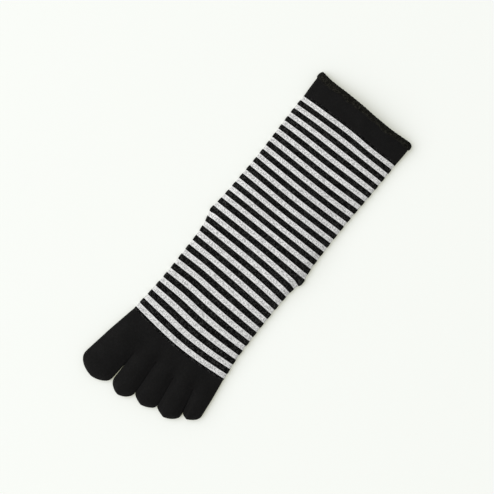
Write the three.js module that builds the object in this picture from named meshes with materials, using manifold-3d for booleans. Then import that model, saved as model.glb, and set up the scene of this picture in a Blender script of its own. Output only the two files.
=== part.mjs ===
// A knitted toe sock for the left foot, lying flat with the top of the foot upwards.
//
// Millimetres, +Z up. The toes point towards -Y, the mouth of the cuff towards +Y, and the little toe is
// on the +X side. The sock is one hollow wall of knit: a turned hem and a cuff band, the leg tube, a heel
// pouch folded flat beneath the leg, the foot tube, and a toe box that divides into five toe pockets.
// While it is modelled, Y = 0 is the ankle line, where the heel pouch begins, and X = 0 is the middle of
// the leg. At the end the whole group is moved so that its origin is at the centre of its base.

import * as THREE from 'three';
import { mergeVertices } from 'three/addons/utils/BufferGeometryUtils.js';
import Module from 'manifold-3d';

// Walls and clearances
const KNIT_WALL = 1.3;
const CUFF_WALL = 1.7;
const PIECE_GAP = 0.3;

// The leg and the foot are one knitted tube, and every width of theirs follows its width at the ankle.
const TUBE_WIDTH = 89.6;

// Leg and cuff
const LEG_LENGTH = 140;
const LEG_HEIGHT = 9;
const MOUTH_HEIGHT = 11.5;
const CUFF_LENGTH = 22.4;
const HEM_LENGTH = 5.6;
const HEM_BULGE = 0.9;
const STRIPE_LEAN = 1.4;

// Foot
const FOOT_LENGTH = 100.4;
const FOOT_HEIGHT = 8.2;
const FOLD_HEIGHT = 5.6;
const TOE_LINE_BOW = 2.7;

// Heel pouch, folded flat beneath the leg
const POUCH_WIDTH = 79;
const POUCH_DEPTH = 34;
const POUCH_SLACK = 0.6;
const POUCH_TURN = 1;
const POUCH_MARGIN = 5;
const POUCH_FALL = 10;
const POUCH_TOP_FALL = 24;
const POUCH_STEPS = 18;
const ANKLE_RISE = 26;

// Toe box and toes
const TOE_BOX_LENGTH = 27.4;
const ROOT_LINE_WIDTH = 98.3;
const ROOT_LINE_SHIFT = 1.2;
const BIG_TOE_LENGTH = 37.8;
const BIG_TOE_HEIGHT = 9;
const TOE_FOLD_HEIGHT = 5.4;
const SLIT = 0.7;

// Each toe pocket from the big toe to the little toe. root is its share of the root line's width, and
// wide is how wide it is where its rounded tip starts, as a share of that. long and tall are shares of the
// big toe's length and height. As shares of its own length, tip is its rounded end and lean how far it
// turns sideways. bend is how far the tip turns further, as a share of its own width.
const TOES = [
  { name: 'big', root: 0.283, wide: 1.04, long: 1, tall: 1, tip: 0.32, lean: -0.095, bend: 0.14 },
  { name: 'second', root: 0.185, wide: 1.05, long: 0.99, tall: 0.91, tip: 0.24, lean: 0.024, bend: 0.09 },
  { name: 'third', root: 0.188, wide: 0.98, long: 0.923, tall: 0.91, tip: 0.245, lean: 0.063, bend: 0.1 },
  { name: 'fourth', root: 0.183, wide: 1.03, long: 0.839, tall: 0.91, tip: 0.285, lean: 0.114, bend: 0.1 },
  { name: 'little', root: 0.161, wide: 0.92, long: 0.607, tall: 0.87, tip: 0.33, lean: 0.144, bend: 0.11 },
];

// The corners of the root line, from the big toe's outer side to the little toe's. ahead is how far in
// front of the toe line each one lies, as a share of the toe box's length.
const ROOT_CORNERS = [
  { ahead: 0.934 },
  { ahead: 1 },
  { ahead: 0.77 },
  { ahead: 0.821 },
  { ahead: 0.737 },
  { ahead: 0.642 },
];

// Yarn colours
const BLACK_YARN = 0x1a1a1a;
const STRIPED_KNIT = 0x767674;

// Where the sections of a tube lie, and its outline there. at is a share of the tube's length from the
// ankle line; left and right are shares of half the tube's width; crown is a share of its height.
const LEG_SECTIONS = [
  { at: 0, left: 1.05, right: 1.06, crown: 1 },
  { at: 0.035, left: 1.03, right: 1.03, crown: 1 },
  { at: 0.09, left: 1.017, right: 1.0, crown: 1 },
  { at: 0.22, left: 1.002, right: 0.988, crown: 1 },
  { at: 0.42, left: 0.995, right: 0.98, crown: 0.98 },
  { at: 0.64, left: 1.007, right: 0.988, crown: 1 },
  { at: 0.84, left: 1.03, right: 0.979, crown: 1.1 },
  { at: 1, left: 1.04, right: 0.975, crown: MOUTH_HEIGHT / LEG_HEIGHT },
];
const FOOT_SECTIONS = [
  { at: 0, left: 1.05, right: 1.06, crown: LEG_HEIGHT / FOOT_HEIGHT },
  { at: 0.05, left: 1.018, right: 1.026, crown: 1.06 },
  { at: 0.12, left: 0.979, right: 0.998, crown: 1.03 },
  { at: 0.24, left: 0.941, right: 0.986, crown: 1 },
  { at: 0.42, left: 0.926, right: 0.984, crown: 1 },
  { at: 0.61, left: 0.924, right: 0.988, crown: 1 },
  { at: 0.81, left: 0.935, right: 1.003, crown: 1 },
  { at: 1, left: 0.964, right: 1.059, crown: 1 },
];

// The turned hem from the cuff band to the mouth: how far its outside and its inside stand proud of the
// cuff band's, as shares of the bulge.
const HEM_SECTIONS = [
  { at: 0, outside: 0.3, inside: 0 },
  { at: 0.14, outside: 0.85, inside: 0.25 },
  { at: 0.45, outside: 1, inside: 0.45 },
  { at: 0.78, outside: 0.75, inside: 0.3 },
  { at: 0.93, outside: 0.25, inside: -0.05 },
  { at: 1, outside: -0.35, inside: -0.5 },
];

// The heel pouch from its middle to its side: how deep it is there, as a share of its depth.
const POUCH_SECTIONS = [
  { side: 0, depth: 1 },
  { side: 0.22, depth: 0.985 },
  { side: 0.4, depth: 0.9 },
  { side: 0.56, depth: 0.72 },
  { side: 0.72, depth: 0.5 },
  { side: 0.88, depth: 0.27 },
  { side: 1, depth: 0.12 },
];

const POUCH_THICKNESS = 2 * KNIT_WALL + POUCH_SLACK;
const POUCH_LIFT = POUCH_THICKNESS + PIECE_GAP;
const CROWN_POWER = 2.4;
const TOP_STEPS = 14;
const BOTTOM_STEPS = 12;
const FOLD_STEPS = 4;
const TOE_STEPS = 4;
const POUCH_TIP_STEPS = 5;
const TOE_STRAIGHT_SHARES = [0, 0.15, 0.4, 0.7, 1];
const TOE_TIP_SHARES = [0.3, 0.56, 0.78, 0.93];
const WEB_SQUARENESS = 0.45;

const mix = THREE.MathUtils.lerp;
const ease = (share) => THREE.MathUtils.smoothstep(share, 0, 1);

// The value of one column of a section table at a share along it, on a smooth curve through its rows.
function along(rows, at, column, key = 'at') {
  const last = rows.length - 1;
  let i = 0;
  while (i < last - 1 && at > rows[i + 1][key]) i += 1;
  const slope = (j) => {
    const before = rows[Math.max(j - 1, 0)];
    const after = rows[Math.min(j + 1, last)];
    return (after[column] - before[column]) / (after[key] - before[key]);
  };
  const span = rows[i + 1][key] - rows[i][key];
  const t = THREE.MathUtils.clamp((at - rows[i][key]) / span, 0, 1);
  const start = rows[i][column];
  const end = rows[i + 1][column];
  return (
    start * (2 * t ** 3 - 3 * t ** 2 + 1) +
    end * (3 * t ** 2 - 2 * t ** 3) +
    span * (slope(i) * (t ** 3 - 2 * t ** 2 + t) + slope(i + 1) * (t ** 3 - t ** 2))
  );
}

const evenShares = (steps) => Array.from({ length: steps + 1 }, (_, i) => i / steps);

// A power that keeps the sign, to make a round fold squarer.
const signedPower = (value, power) => Math.sign(value) * Math.abs(value) ** power;

// The outline of a flattened tube, seen from the toe end, as points { x, z, across }. It runs along the
// bottom, up the right-hand fold, back over the top and down the left-hand fold. inset moves it inwards
// by a wall, and across goes from -1 at the left fold to 1 at the right one.
function outlineOf(section, inset) {
  const half = section.fold / 2;
  const leftCentre = section.left + half;
  const rightCentre = section.right - half;
  const middle = (section.left + section.right) / 2;
  const points = [];
  const add = (x, z) => {
    points.push({ x, z, across: (2 * (x - middle)) / (section.right - section.left) });
  };
  const fold = (centre, side, square, from, to) => {
    for (let i = 1; i < FOLD_STEPS; i += 1) {
      const angle = mix(from, to, i / FOLD_STEPS);
      const x = centre + side * (half - inset) * signedPower(Math.cos(angle), square);
      add(x, half + (half - inset) * signedPower(Math.sin(angle), square) + section.floor(centre));
    }
  };
  for (const share of section.bottomShares) {
    const x = mix(leftCentre, rightCentre, share);
    add(x, inset + section.floor(x));
  }
  fold(rightCentre, 1, section.squareRight, -Math.PI / 2, Math.PI / 2);
  for (const share of [...section.topShares].reverse()) {
    const x = mix(leftCentre, rightCentre, share);
    add(x, section.top(x) - inset);
  }
  fold(leftCentre, -1, section.squareLeft, Math.PI / 2, -Math.PI / 2);
  return points;
}

// The height of a crowned top between two folds.
function crowned(x, left, right, fold, crown) {
  const across = THREE.MathUtils.clamp((2 * x - left - right) / (right - left - fold), -1, 1);
  return fold + (crown - fold) * (1 - Math.abs(across) ** CROWN_POWER);
}

// A mesh geometry from loops of points: faces between each loop and the next, and, where asked, a ring
// that joins the first loops of two surfaces or a fan that closes a loop.
class Surface {
  constructor() {
    this.corners = [];
    this.faces = [];
  }

  addLoop(points) {
    const first = this.corners.length / 3;
    for (const point of points) this.corners.push(point.x, point.y, point.z);
    return { first, count: points.length };
  }

  join(a, b) {
    for (let i = 0; i < a.count; i += 1) {
      const next = (i + 1) % a.count;
      this.faces.push(a.first + i, a.first + next, b.first + next);
      this.faces.push(a.first + i, b.first + next, b.first + i);
    }
  }

  close(loop, apex, facesBack) {
    const centre = this.addLoop([apex]).first;
    for (let i = 0; i < loop.count; i += 1) {
      const next = (i + 1) % loop.count;
      const pair = facesBack ? [next, i] : [i, next];
      this.faces.push(loop.first + pair[0], loop.first + pair[1], centre);
    }
  }

  geometry() {
    const made = new THREE.BufferGeometry();
    made.setAttribute('position', new THREE.Float32BufferAttribute(this.corners, 3));
    made.setIndex(this.faces);
    return made;
  }
}

// A wall of knit between outer and inner loops, which run from the mouth towards the toes. With tips,
// the toe end is closed by a point on each surface instead of a ring.
function wallOf(outer, inner, tips) {
  const surface = new Surface();
  const outside = outer.map((loop) => surface.addLoop(loop));
  const inside = inner.map((loop) => surface.addLoop(loop));
  for (let i = 0; i + 1 < outside.length; i += 1) surface.join(outside[i], outside[i + 1]);
  for (let i = 0; i + 1 < inside.length; i += 1) surface.join(inside[i + 1], inside[i]);
  surface.join(inside[0], outside[0]);
  if (tips) {
    surface.close(outside[outside.length - 1], tips.outside, false);
    surface.close(inside[inside.length - 1], tips.inside, true);
  } else {
    surface.join(outside[outside.length - 1], inside[inside.length - 1]);
  }
  return surface.geometry();
}

// The folded heel pouch: how deep it is at x, and how far it lifts the knit that lies on it.
const pouchDepth = (x) => {
  const side = Math.min(Math.abs(x) / (POUCH_WIDTH / 2), 1);
  return POUCH_DEPTH * along(POUCH_SECTIONS, side, 'depth', 'side');
};
const pouchSide = (x) => 1 - ease((2 * Math.abs(x) - POUCH_WIDTH) / (TUBE_WIDTH - POUCH_WIDTH));
const pouchLift = (x, y, fall) => {
  const past = (y - pouchDepth(x) - POUCH_MARGIN) / fall;
  return POUCH_LIFT * pouchSide(x) * (1 - ease(past));
};

// The lines along which the pouch is drawn. The underside of the leg has the same ones, so they never meet.
const pouchLines = evenShares(POUCH_STEPS).map((share) => (share - 0.5) * POUCH_WIDTH);

// Lines across the sock follow the knit's courses: the leg's lean a little, and the toe line bows.
const cuffLine = LEG_LENGTH - CUFF_LENGTH;
const hemLine = LEG_LENGTH - HEM_LENGTH;
const legCourse = (y, across) => y + STRIPE_LEAN * ease(y / cuffLine) * across;
const footCourse = (y, across) => y - TOE_LINE_BOW * ease(-y / FOOT_LENGTH) * (1 - across ** 2);

// The hem is thicker than the band, so the knit beside it is lifted from the ground.
const hemRise = (y) => HEM_BULGE * ease((y - cuffLine) / (hemLine - cuffLine));

const plainFolds = {
  fold: FOLD_HEIGHT,
  squareLeft: 1,
  squareRight: 1,
  bottomShares: evenShares(BOTTOM_STEPS),
  topShares: evenShares(TOP_STEPS),
};

function legSection(y) {
  const at = y / LEG_LENGTH;
  const left = (-TUBE_WIDTH / 2) * along(LEG_SECTIONS, at, 'left');
  const right = (TUBE_WIDTH / 2) * along(LEG_SECTIONS, at, 'right');
  const crown = LEG_HEIGHT * along(LEG_SECTIONS, at, 'crown');
  const floor = (x) => pouchLift(x, y, POUCH_FALL) + hemRise(y);
  const top = (x) =>
    crowned(x, left, right, FOLD_HEIGHT, crown) + pouchLift(x, y, POUCH_TOP_FALL) + hemRise(y);
  const flat = right - left - FOLD_HEIGHT;
  const bottomShares = [0, ...pouchLines.map((x) => (x - left - FOLD_HEIGHT / 2) / flat), 1];
  return { ...plainFolds, left, right, bottomShares, floor, top };
}

function footSection(y) {
  const at = -y / FOOT_LENGTH;
  const left = (-TUBE_WIDTH / 2) * along(FOOT_SECTIONS, at, 'left');
  const right = (TUBE_WIDTH / 2) * along(FOOT_SECTIONS, at, 'right');
  const crown = FOOT_HEIGHT * along(FOOT_SECTIONS, at, 'crown');
  const top = (x) =>
    crowned(x, left, right, FOLD_HEIGHT, crown) + POUCH_LIFT * pouchSide(x) * ease(1 + y / ANKLE_RISE);
  return { ...plainFolds, left, right, floor: () => 0, top };
}

// One loop of a tube's wall at y, on its course line.
function loopAt(section, inset, y, course) {
  return outlineOf(section, inset).map(({ x, z, across }) => new THREE.Vector3(x, course(y, across), z));
}

function tube(places, sectionAt, course, wall) {
  const outer = places.map((y) => loopAt(sectionAt(y), 0, y, course));
  const inner = places.map((y) => loopAt(sectionAt(y), wall, y, course));
  return wallOf(outer, inner);
}

// Places along a tube from one end to the other, closer together over the heel pouch.
const between = (from, to, steps) => evenShares(steps).map((share) => mix(from, to, share));

function legTube() {
  const end = cuffLine - PIECE_GAP / 2;
  const start = PIECE_GAP / 2;
  const pouchEnd = POUCH_DEPTH + POUCH_MARGIN + POUCH_FALL;
  const places = [...between(end, pouchEnd, 6), ...between(pouchEnd, start, 10).slice(1)];
  return tube(places, legSection, legCourse, KNIT_WALL);
}

function cuffBand() {
  const places = between(hemLine - PIECE_GAP / 2, cuffLine + PIECE_GAP / 2, 3);
  return tube(places, legSection, legCourse, CUFF_WALL);
}

// The hem stands proud of the band outside and inside, and rounds off to the mouth.
function cuffHem() {
  const start = hemLine + PIECE_GAP / 2;
  const loops = (column, inset, sign) =>
    [...HEM_SECTIONS].reverse().map((row) => {
      const y = mix(start, LEG_LENGTH, row.at);
      return loopAt(legSection(y), inset + sign * HEM_BULGE * row[column], y, legCourse);
    });
  return wallOf(loops('outside', 0, -1), loops('inside', CUFF_WALL, 1));
}

function footTube() {
  const places = [
    ...between(-PIECE_GAP / 2, -ANKLE_RISE, 4),
    ...between(-ANKLE_RISE, PIECE_GAP / 2 - FOOT_LENGTH, 6).slice(1),
  ];
  return tube(places, footSection, footCourse, KNIT_WALL);
}

// The heel pouch is a flat bag of two layers, open towards the foot. Its lower layer carries on the sole.
// Its upper layer turns up and back at the ankle line to meet the underside of the leg. The section below
// is drawn along Y and Z for a pouch of the given depth.
function pouchSection(depth) {
  const tip = POUCH_THICKNESS / 2;
  const turn = PIECE_GAP / 2;
  const start = PIECE_GAP / 2;
  const points = [];
  const arc = (y, z, radius, from, to) => {
    for (const step of evenShares(POUCH_TIP_STEPS)) {
      const angle = mix(from, to, step) * Math.PI;
      points.push(new THREE.Vector2(y + radius * Math.cos(angle), z + radius * Math.sin(angle)));
    }
  };
  points.push(new THREE.Vector2(start, 0));
  arc(depth - tip, tip, tip, -0.5, 0.5);
  arc(-POUCH_TURN, POUCH_THICKNESS + turn, turn, 1.5, 0.5);
  points.push(new THREE.Vector2(-start, POUCH_LIFT), new THREE.Vector2(-start, POUCH_LIFT + KNIT_WALL));
  arc(-POUCH_TURN, POUCH_THICKNESS + turn, turn + KNIT_WALL, 0.5, 1.5);
  arc(depth - tip, tip, POUCH_SLACK / 2, 0.5, -0.5);
  points.push(new THREE.Vector2(start, KNIT_WALL));
  return points;
}

function heelPouch() {
  const surface = new Surface();
  const sections = pouchLines.map((x) => pouchSection(pouchDepth(x)));
  const loops = sections.map((section, i) =>
    surface.addLoop(section.map((point) => new THREE.Vector3(pouchLines[i], point.x, point.y))),
  );
  for (let i = 0; i + 1 < loops.length; i += 1) surface.join(loops[i], loops[i + 1]);
  for (const end of [0, loops.length - 1]) {
    for (const [a, b, c] of THREE.ShapeUtils.triangulateShape(sections[end], [])) {
      const face = end === 0 ? [a, c, b] : [a, b, c];
      surface.faces.push(...face.map((corner) => loops[end].first + corner));
    }
  }
  return surface.geometry();
}

// The root line, where the toe box divides into toes: its corners, from the big toe's side to the little
// toe's. Those between are the crotches.
const crotches = ROOT_CORNERS.map(({ ahead }, i) => {
  const before = TOES.slice(0, i).reduce((share, toe) => share + toe.root, 0);
  return { x: ROOT_LINE_SHIFT + ROOT_LINE_WIDTH * (before - 0.5), y: -FOOT_LENGTH - TOE_BOX_LENGTH * ahead };
});

function rootLine(x) {
  let i = 0;
  while (i < TOES.length - 1 && x > crotches[i + 1].x) i += 1;
  const [a, b] = [crotches[i], crotches[i + 1]];
  return mix(a.y, b.y, THREE.MathUtils.clamp((x - a.x) / (b.x - a.x), 0, 1));
}

// The height of the toes' tops along the root line, with a valley at each crotch.
function rootTop(x) {
  let i = 0;
  while (i < TOES.length - 1 && x > crotches[i + 1].x) i += 1;
  const [left, right] = [crotches[i].x, crotches[i + 1].x];
  return crowned(x, left, right, TOE_FOLD_HEIGHT, BIG_TOE_HEIGHT * TOES[i].tall);
}

// The toe box follows the foot's last section at the toe line and the five toes' tops at the root line.
// Its points across lie at the toes' own points, so that its front edge has the toes' scalloped top.
function toeBoxLoops(inset) {
  const back = footSection(-FOOT_LENGTH);
  const [frontLeft, frontRight] = [crotches[0].x, crotches[TOES.length].x];
  const shares = [0];
  TOES.forEach((toe, i) => {
    for (let step = 1; step <= TOE_STEPS; step += 1) {
      const x = mix(crotches[i].x, crotches[i + 1].x, step / TOE_STEPS);
      shares.push((x - frontLeft) / (frontRight - frontLeft));
    }
  });
  return evenShares(4).map((share) => {
    const left = mix(back.left, frontLeft, share);
    const right = mix(back.right, frontRight, share);
    const fold = mix(FOLD_HEIGHT, TOE_FOLD_HEIGHT, share);
    const top = (x) => {
      const across = (x - left) / (right - left);
      const before = back.top(mix(back.left, back.right, across));
      return mix(before, rootTop(mix(frontLeft, frontRight, across)), share ** 1.5);
    };
    const inner = shares.map((value) => {
      const x = mix(left, right, value);
      return THREE.MathUtils.clamp((x - left - fold / 2) / (right - left - fold), 0, 1);
    });
    const section = {
      left,
      right,
      fold,
      squareLeft: 1,
      squareRight: 1,
      floor: () => 0,
      top,
      topShares: [...new Set(inner)],
      bottomShares: [...new Set(inner)],
    };
    return outlineOf(section, inset).map(({ x, z, across }) => {
      const y = mix(
        footCourse(-FOOT_LENGTH, across) - PIECE_GAP / 2,
        rootLine(mix(frontLeft, frontRight, (across + 1) / 2)) + PIECE_GAP / 2,
        share,
      );
      return new THREE.Vector3(x, y, z);
    });
  });
}

// A closed geometry as a solid for cutting and joining, and back.
const wasm = await Module();
wasm.setup();

function solidOf(geometry) {
  const bare = geometry.clone();
  bare.deleteAttribute('normal');
  bare.deleteAttribute('uv');
  const merged = mergeVertices(bare, 1e-4);
  return new wasm.Manifold(
    new wasm.Mesh({
      numProp: 3,
      vertProperties: merged.attributes.position.array,
      triVerts: new Uint32Array(merged.index.array),
    }),
  );
}

function geometryOf(solid) {
  const { numProp, vertProperties, triVerts } = solid.getMesh();
  const made = new THREE.BufferGeometry();
  const stride = new THREE.InterleavedBuffer(vertProperties, numProp);
  const position = new Float32Array((vertProperties.length / numProp) * 3);
  const source = new THREE.InterleavedBufferAttribute(stride, 3, 0);
  for (let i = 0; i < source.count; i += 1) {
    position.set([source.getX(i), source.getY(i), source.getZ(i)], i * 3);
  }
  made.setAttribute('position', new THREE.BufferAttribute(position, 3));
  made.setIndex(new THREE.BufferAttribute(triVerts, 1));
  return made;
}

// The web of knit at a crotch, behind the root line, which joins the top and the sole of the toe box.
function web(crotch) {
  const half = SLIT / 2 + KNIT_WALL;
  const outline = new THREE.Shape();
  const front = [crotch.x - half, crotch.x, crotch.x + half];
  front.forEach((x, i) => {
    const y = rootLine(x) + PIECE_GAP / 2;
    if (i === 0) outline.moveTo(x, y);
    else outline.lineTo(x, y);
  });
  [...front].reverse().forEach((x) => outline.lineTo(x, rootLine(x) + PIECE_GAP / 2 + KNIT_WALL));
  const height = TOE_FOLD_HEIGHT - KNIT_WALL;
  const block = new THREE.ExtrudeGeometry(outline, { depth: height, bevelEnabled: false });
  return block.translate(0, 0, KNIT_WALL / 2);
}

function toeBox() {
  let solid = solidOf(wallOf(toeBoxLoops(0), toeBoxLoops(KNIT_WALL)));
  for (const crotch of crotches.slice(1, -1)) solid = solid.add(solidOf(web(crotch)));
  return geometryOf(solid);
}

// A toe pocket, from the root line to its rounded tip. Its sections turn from the slant of the root line
// to straight across, and its corners beside a slit start square, where they meet the toe box.
function toePocket(toe, index) {
  const [left, right] = [crotches[index], crotches[index + 1]];
  const first = index === 0;
  const last = index === TOES.length - 1;
  const rootLeft = left.x + (first ? 0 : SLIT / 2);
  const rootRight = right.x - (last ? 0 : SLIT / 2);
  const rootMiddle = (rootLeft + rootRight) / 2;
  const rootY = (left.y + right.y) / 2 - PIECE_GAP / 2;
  const slant = (right.y - left.y) / (right.x - left.x);
  const length = BIG_TOE_LENGTH * toe.long;
  const height = BIG_TOE_HEIGHT * toe.tall;
  const width = ROOT_LINE_WIDTH * toe.root * toe.wide;
  const tipLength = length * toe.tip;
  const straight = length - tipLength;

  const sectionAt = (inset, { reach, across, scale, square, slope, turn }) => {
    const half = (TOE_FOLD_HEIGHT / 2 - inset) * scale;
    const floor = TOE_FOLD_HEIGHT / 2 - half;
    const middle = rootMiddle + toe.lean * reach + toe.bend * width * turn;
    const section = {
      left: middle - across,
      right: middle + across,
      fold: 2 * half,
      squareLeft: first ? 1 : square,
      squareRight: last ? 1 : square,
      floor: () => floor,
      topShares: evenShares(TOE_STEPS),
      bottomShares: evenShares(TOE_STEPS),
    };
    const crown = (height - 2 * inset) * scale;
    section.top = (x) => crowned(x, section.left, section.right, section.fold, crown) + floor;
    return outlineOf(section, 0).map(
      ({ x, z }) => new THREE.Vector3(x, rootY - reach + slope * (x - middle), z),
    );
  };

  const loops = (inset) => {
    const sections = TOE_STRAIGHT_SHARES.map((share) => ({
      reach: straight * share,
      across: mix(rootRight - rootLeft, width, share) / 2 - inset,
      scale: 1,
      square: mix(WEB_SQUARENESS, 1, ease(share / 0.6)),
      slope: slant * (1 - share),
      turn: 0,
    }));
    for (const share of TOE_TIP_SHARES) {
      const angle = (share * Math.PI) / 2;
      sections.push({
        reach: straight + (tipLength - inset) * Math.sin(angle),
        across: (width / 2 - inset) * Math.cos(angle) ** 0.75,
        scale: Math.cos(angle) ** 0.7,
        square: 1,
        slope: 0,
        turn: 1 - Math.cos(angle),
      });
    }
    return sections.map((section) => sectionAt(inset, section));
  };
  const tipPoint = (inset) => {
    const reach = length - inset;
    const x = rootMiddle + toe.lean * reach + toe.bend * width;
    return new THREE.Vector3(x, rootY - reach, TOE_FOLD_HEIGHT / 2);
  };
  return wallOf(loops(0), loops(KNIT_WALL), { outside: tipPoint(0), inside: tipPoint(KNIT_WALL) });
}

const blackKnit = new THREE.MeshStandardMaterial({ color: BLACK_YARN, roughness: 0.95, metalness: 0 });
const stripedKnit = new THREE.MeshStandardMaterial({ color: STRIPED_KNIT, roughness: 0.95, metalness: 0 });

const sock = new THREE.Group();

function addPiece(name, geometry, material) {
  const mesh = new THREE.Mesh(geometry, material);
  mesh.name = name;
  sock.add(mesh);
}

addPiece('cuff_hem', cuffHem(), blackKnit);
addPiece('cuff_band', cuffBand(), blackKnit);
addPiece('leg_tube', legTube(), stripedKnit);
addPiece('heel_pouch', heelPouch(), blackKnit);
addPiece('foot_tube', footTube(), stripedKnit);
addPiece('toe_box', toeBox(), blackKnit);
TOES.forEach((toe, index) => addPiece(`${toe.name}_toe`, toePocket(toe, index), blackKnit));

// The origin goes to the centre of the base.
const bounds = new THREE.Box3().setFromObject(sock);
const centre = bounds.getCenter(new THREE.Vector3());
sock.position.set(-centre.x, -centre.y, -bounds.min.z);

export default sock;
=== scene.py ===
"""A striped toe sock for the left foot, knitted, lying flat with its top side up.

The pieces are a striped tube for the leg and the foot, a black toe section with five toes, a black heel
pouch folded flat beneath the leg, a cuff band and a turned hem. Sizes below are in millimetres. Along the
sock they count from the ankle line, towards the mouth above 0 and towards the toes below it. Across, they
count from the middle of the leg, with the little toe's side above 0.
"""

import math

import bmesh
import bpy
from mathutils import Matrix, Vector, noise


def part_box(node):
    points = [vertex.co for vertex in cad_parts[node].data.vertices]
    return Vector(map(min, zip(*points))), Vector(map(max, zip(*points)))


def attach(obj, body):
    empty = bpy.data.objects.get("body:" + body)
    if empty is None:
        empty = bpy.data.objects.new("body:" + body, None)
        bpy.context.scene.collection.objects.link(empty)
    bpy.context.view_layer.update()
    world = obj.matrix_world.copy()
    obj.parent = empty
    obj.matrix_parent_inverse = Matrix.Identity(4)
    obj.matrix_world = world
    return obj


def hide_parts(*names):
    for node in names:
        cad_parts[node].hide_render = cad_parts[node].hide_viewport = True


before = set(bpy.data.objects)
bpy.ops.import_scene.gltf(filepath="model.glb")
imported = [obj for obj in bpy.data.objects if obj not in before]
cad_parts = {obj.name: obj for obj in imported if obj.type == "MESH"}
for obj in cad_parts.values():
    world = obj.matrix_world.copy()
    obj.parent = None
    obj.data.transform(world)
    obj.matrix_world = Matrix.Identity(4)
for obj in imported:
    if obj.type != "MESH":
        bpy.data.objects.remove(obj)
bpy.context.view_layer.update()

MM = 0.001
PIECE_GAP = 0.3
ANKLE_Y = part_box("leg_tube")[0].y / MM - PIECE_GAP / 2
MIDDLE_X = sum(corner.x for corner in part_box("heel_pouch")) / 2 / MM

# The tube
TUBE_HALF = 44.8
FOOT_LENGTH = 100.4
CUFF_LINE = 117.7
HEM_LINE = 134.4
MOUTH_LINE = 140.0
FOLD_HEIGHT = 5.6
CROWN_POWER = 2.4
KNIT_WALL = 1.3
CUFF_WALL = 1.7
HEM_BULGE = 0.9

# The heel pouch. The leg lies on it, and comes down again past its margin, sooner below than on top. The
# foot's top comes up to it over the ankle's rise.
POUCH_HALF = 39.5
POUCH_THICKNESS = 3.2
POUCH_LIFT = 3.5
POUCH_MARGIN = 5.0
SOLE_FALL = 10.0
TOP_FALL = 46.0
ANKLE_RISE = 46.0

# The toes press against each other at their roots.
TOE_FOLD_HEIGHT = 5.4
ROOT_PRESS = 1.0

# Knitting: wales run along the sock and courses run round it. A stripe is six courses of one yarn. The
# foot's courses are a little taller than the leg's.
WALES = 168
STRIPE_COURSES = 6
FOOT_COURSE = 0.778
LEG_COURSE = 0.7067
FOOT_COURSES = 144
CUFF_COURSE = 294

# Past its stripes the striped tube goes on for a few black courses at both ends. The cuff band starts
# where it ends, and the toe box starts a course inside it.
END_COURSES = 3.0
BAND_COURSES = 21.0
HEM_COURSES = 30.0
BOX_START = -2.0
BOX_COURSES = 34
TOE_START = BOX_COURSES - BOX_START
POUCH_WALES = 70
POUCH_COURSES = 92

# The fuller grey yarn stands above the black. At the side folds the black stands out instead, and more.
YARN_RELIEF = 0.11
SIDE_RELIEF = 1.6

# Where the heel was knitted in, the courses lean apart at the sides of the ankle: how far across that
# starts, how far they lean towards the toes and towards the mouth, how far along it fades, and the left
# side's share of it.
LEAN_START = 0.86
LEAN_TO_TOES, LEAN_TO_MOUTH = 2.1, 0.5
FADE_TO_TOES, FADE_TO_MOUTH = 8, 7
LEFT_LEAN = 0.45

# Knit never lies quite flat: how wide, how long and how high its shallow swells and finer dimples are. The
# number that ends each place given to the noise only picks a part of it.
SWELL_WIDTH, SWELL_LENGTH, SWELL_HEIGHT = 21, 30, 0.34
DIMPLE_WIDTH, DIMPLE_LENGTH, DIMPLE_HEIGHT = 6.5, 8, 0.1

# How many points each ring of the tube has: round each side fold, and across the top and the sole.
FOLD_POINTS = 8
FLAT_POINTS = 80
RING_POINTS = 2 * (FOLD_POINTS + FLAT_POINTS)

# How many rows of faces the pieces have along them, and how near two points are when they are one.
TUBE_ROWS = 200
BAND_ROWS = 14
POUCH_COLUMNS, POUCH_ROWS = 60, 44
SAME_POINT = 0.02

# The tube's outline: how far along it, then its left and right edges as shares of half the leg's width, and
# its crown height in millimetres.
OUTLINE = [
    (-100.4, 0.964, 1.085, 8.2),
    (-81.3, 0.935, 1.029, 8.2),
    (-61.2, 0.924, 1.010, 8.2),
    (-42.2, 0.932, 1.001, 8.2),
    (-24.1, 0.945, 1.002, 8.2),
    (-12.0, 0.979, 1.013, 8.45),
    (-5.0, 1.018, 1.038, 8.7),
    (0.0, 1.045, 1.08, 9.0),
    (4.9, 1.03, 1.056, 9.0),
    (12.6, 1.017, 1.031, 9.0),
    (30.8, 1.004, 1.014, 9.0),
    (58.8, 1.0, 1.004, 8.8),
    (89.6, 1.024, 1.016, 9.0),
    (98.0, 1.033, 1.016, 9.3),
    (111.0, 1.037, 1.015, 9.7),
    (117.6, 1.036, 1.015, 9.9),
    (123.0, 1.045, 1.018, 10.3),
    (132.0, 1.055, 1.02, 11.0),
    (140.0, 1.052, 1.01, 11.5),
]

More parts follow.
